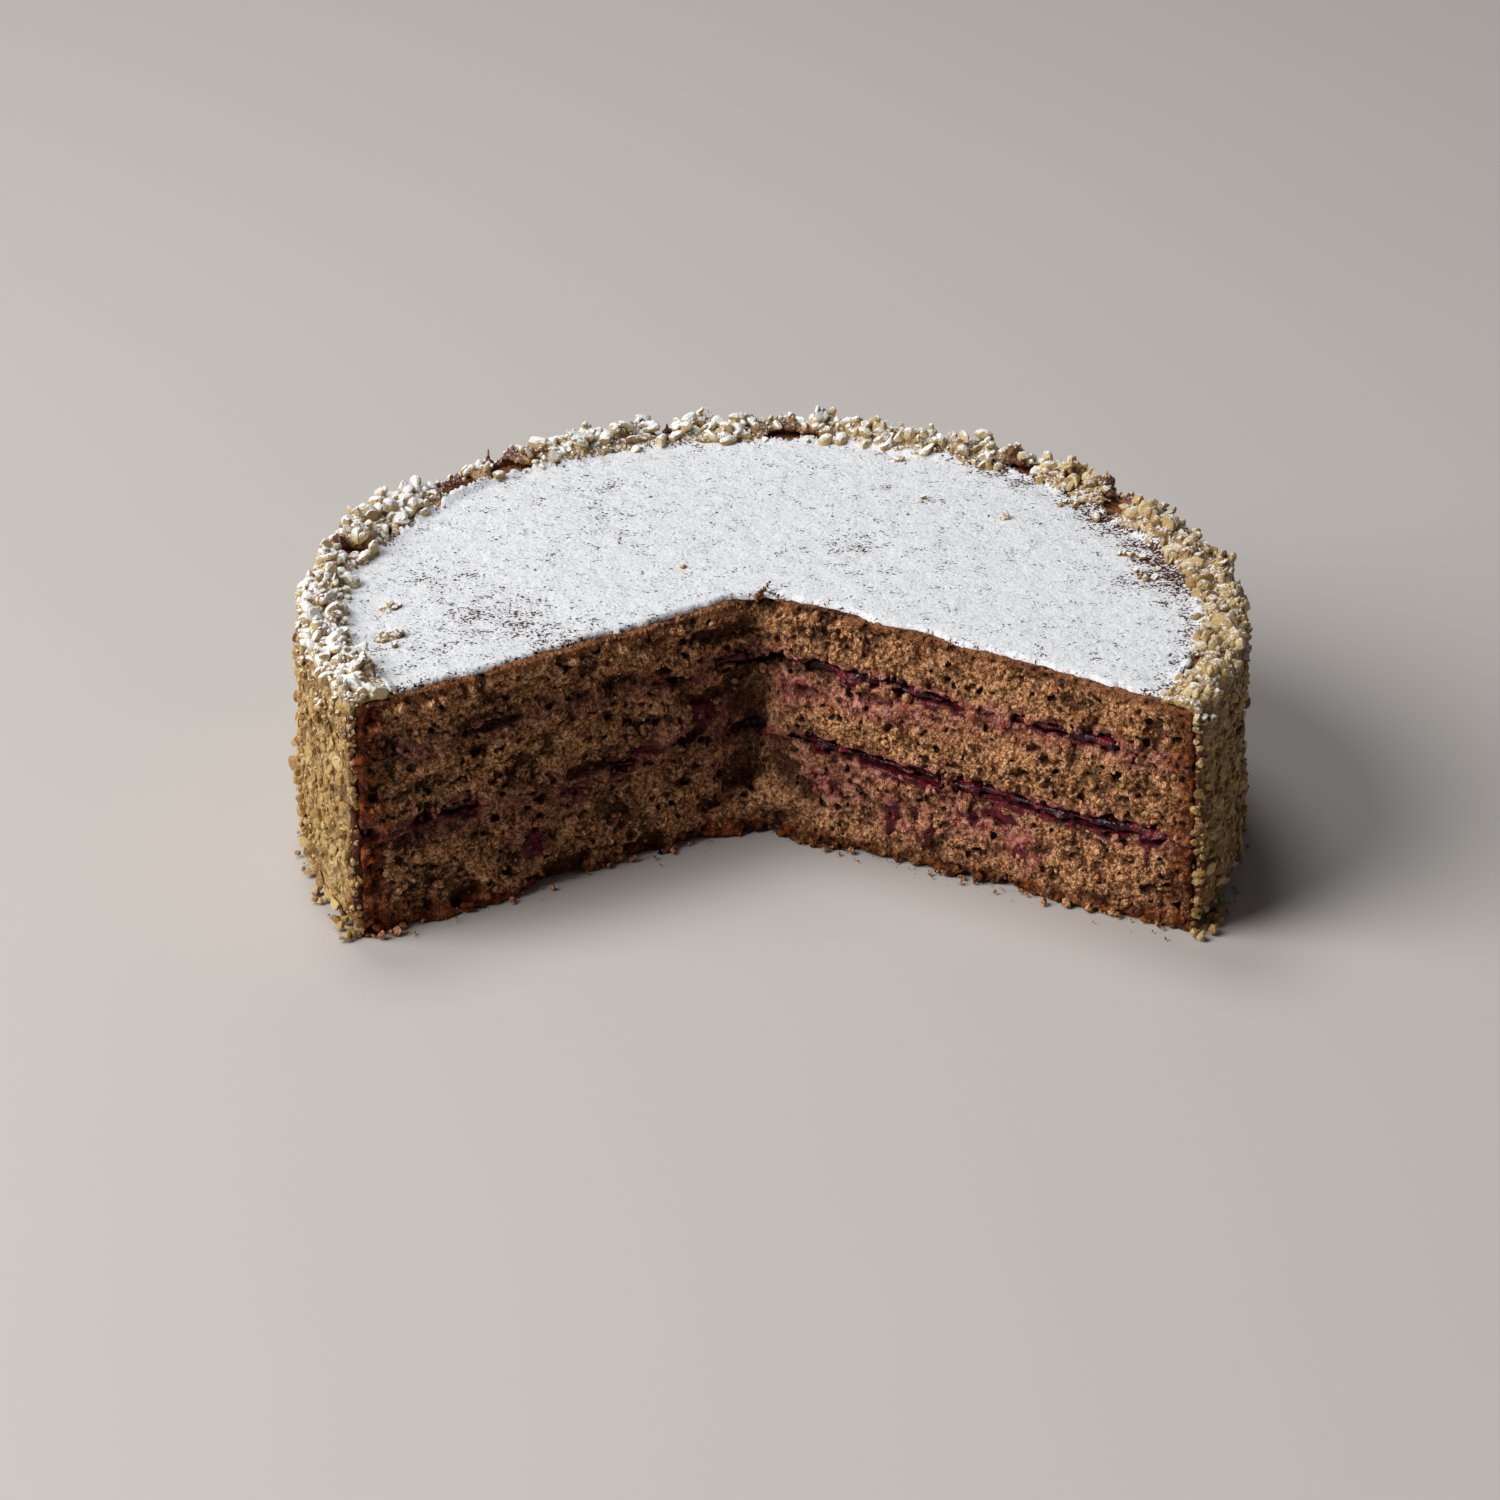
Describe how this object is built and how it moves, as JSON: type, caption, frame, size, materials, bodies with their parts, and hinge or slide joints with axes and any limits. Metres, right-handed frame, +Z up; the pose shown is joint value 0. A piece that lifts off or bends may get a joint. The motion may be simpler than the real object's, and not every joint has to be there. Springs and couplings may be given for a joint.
{
  "type": "buckwheat layer cake",
  "caption": "Round sponge layer cake with jam seams, a chopped nut coat and icing sugar on top, one wide wedge cut away.",
  "frame": {"origin": "middle of the bounding box in plan, on the surface that the cake stands on", "axes": "+Z up; the missing wedge opens towards -Y; +X is to the right as seen when looking into the wedge; the cake's round axis stands at x 0, y -0.0316"},
  "size_m": [0.2648, 0.2013, 0.0762],
  "materials": {
    "sponge": "matte, open brown crumb",
    "jam": "wet gloss",
    "nuts": "satin, chopped and toasted",
    "sugar": "fine matte powder"
  },
  "bodies": {
    "root": {"sponge_bottom": "sponge", "jam_lower": "jam", "sponge_middle": "sponge", "jam_upper": "jam", "sponge_top": "sponge", "nut_coating": "nuts", "icing_sugar": "sugar"}
  },
  "joints": []
}
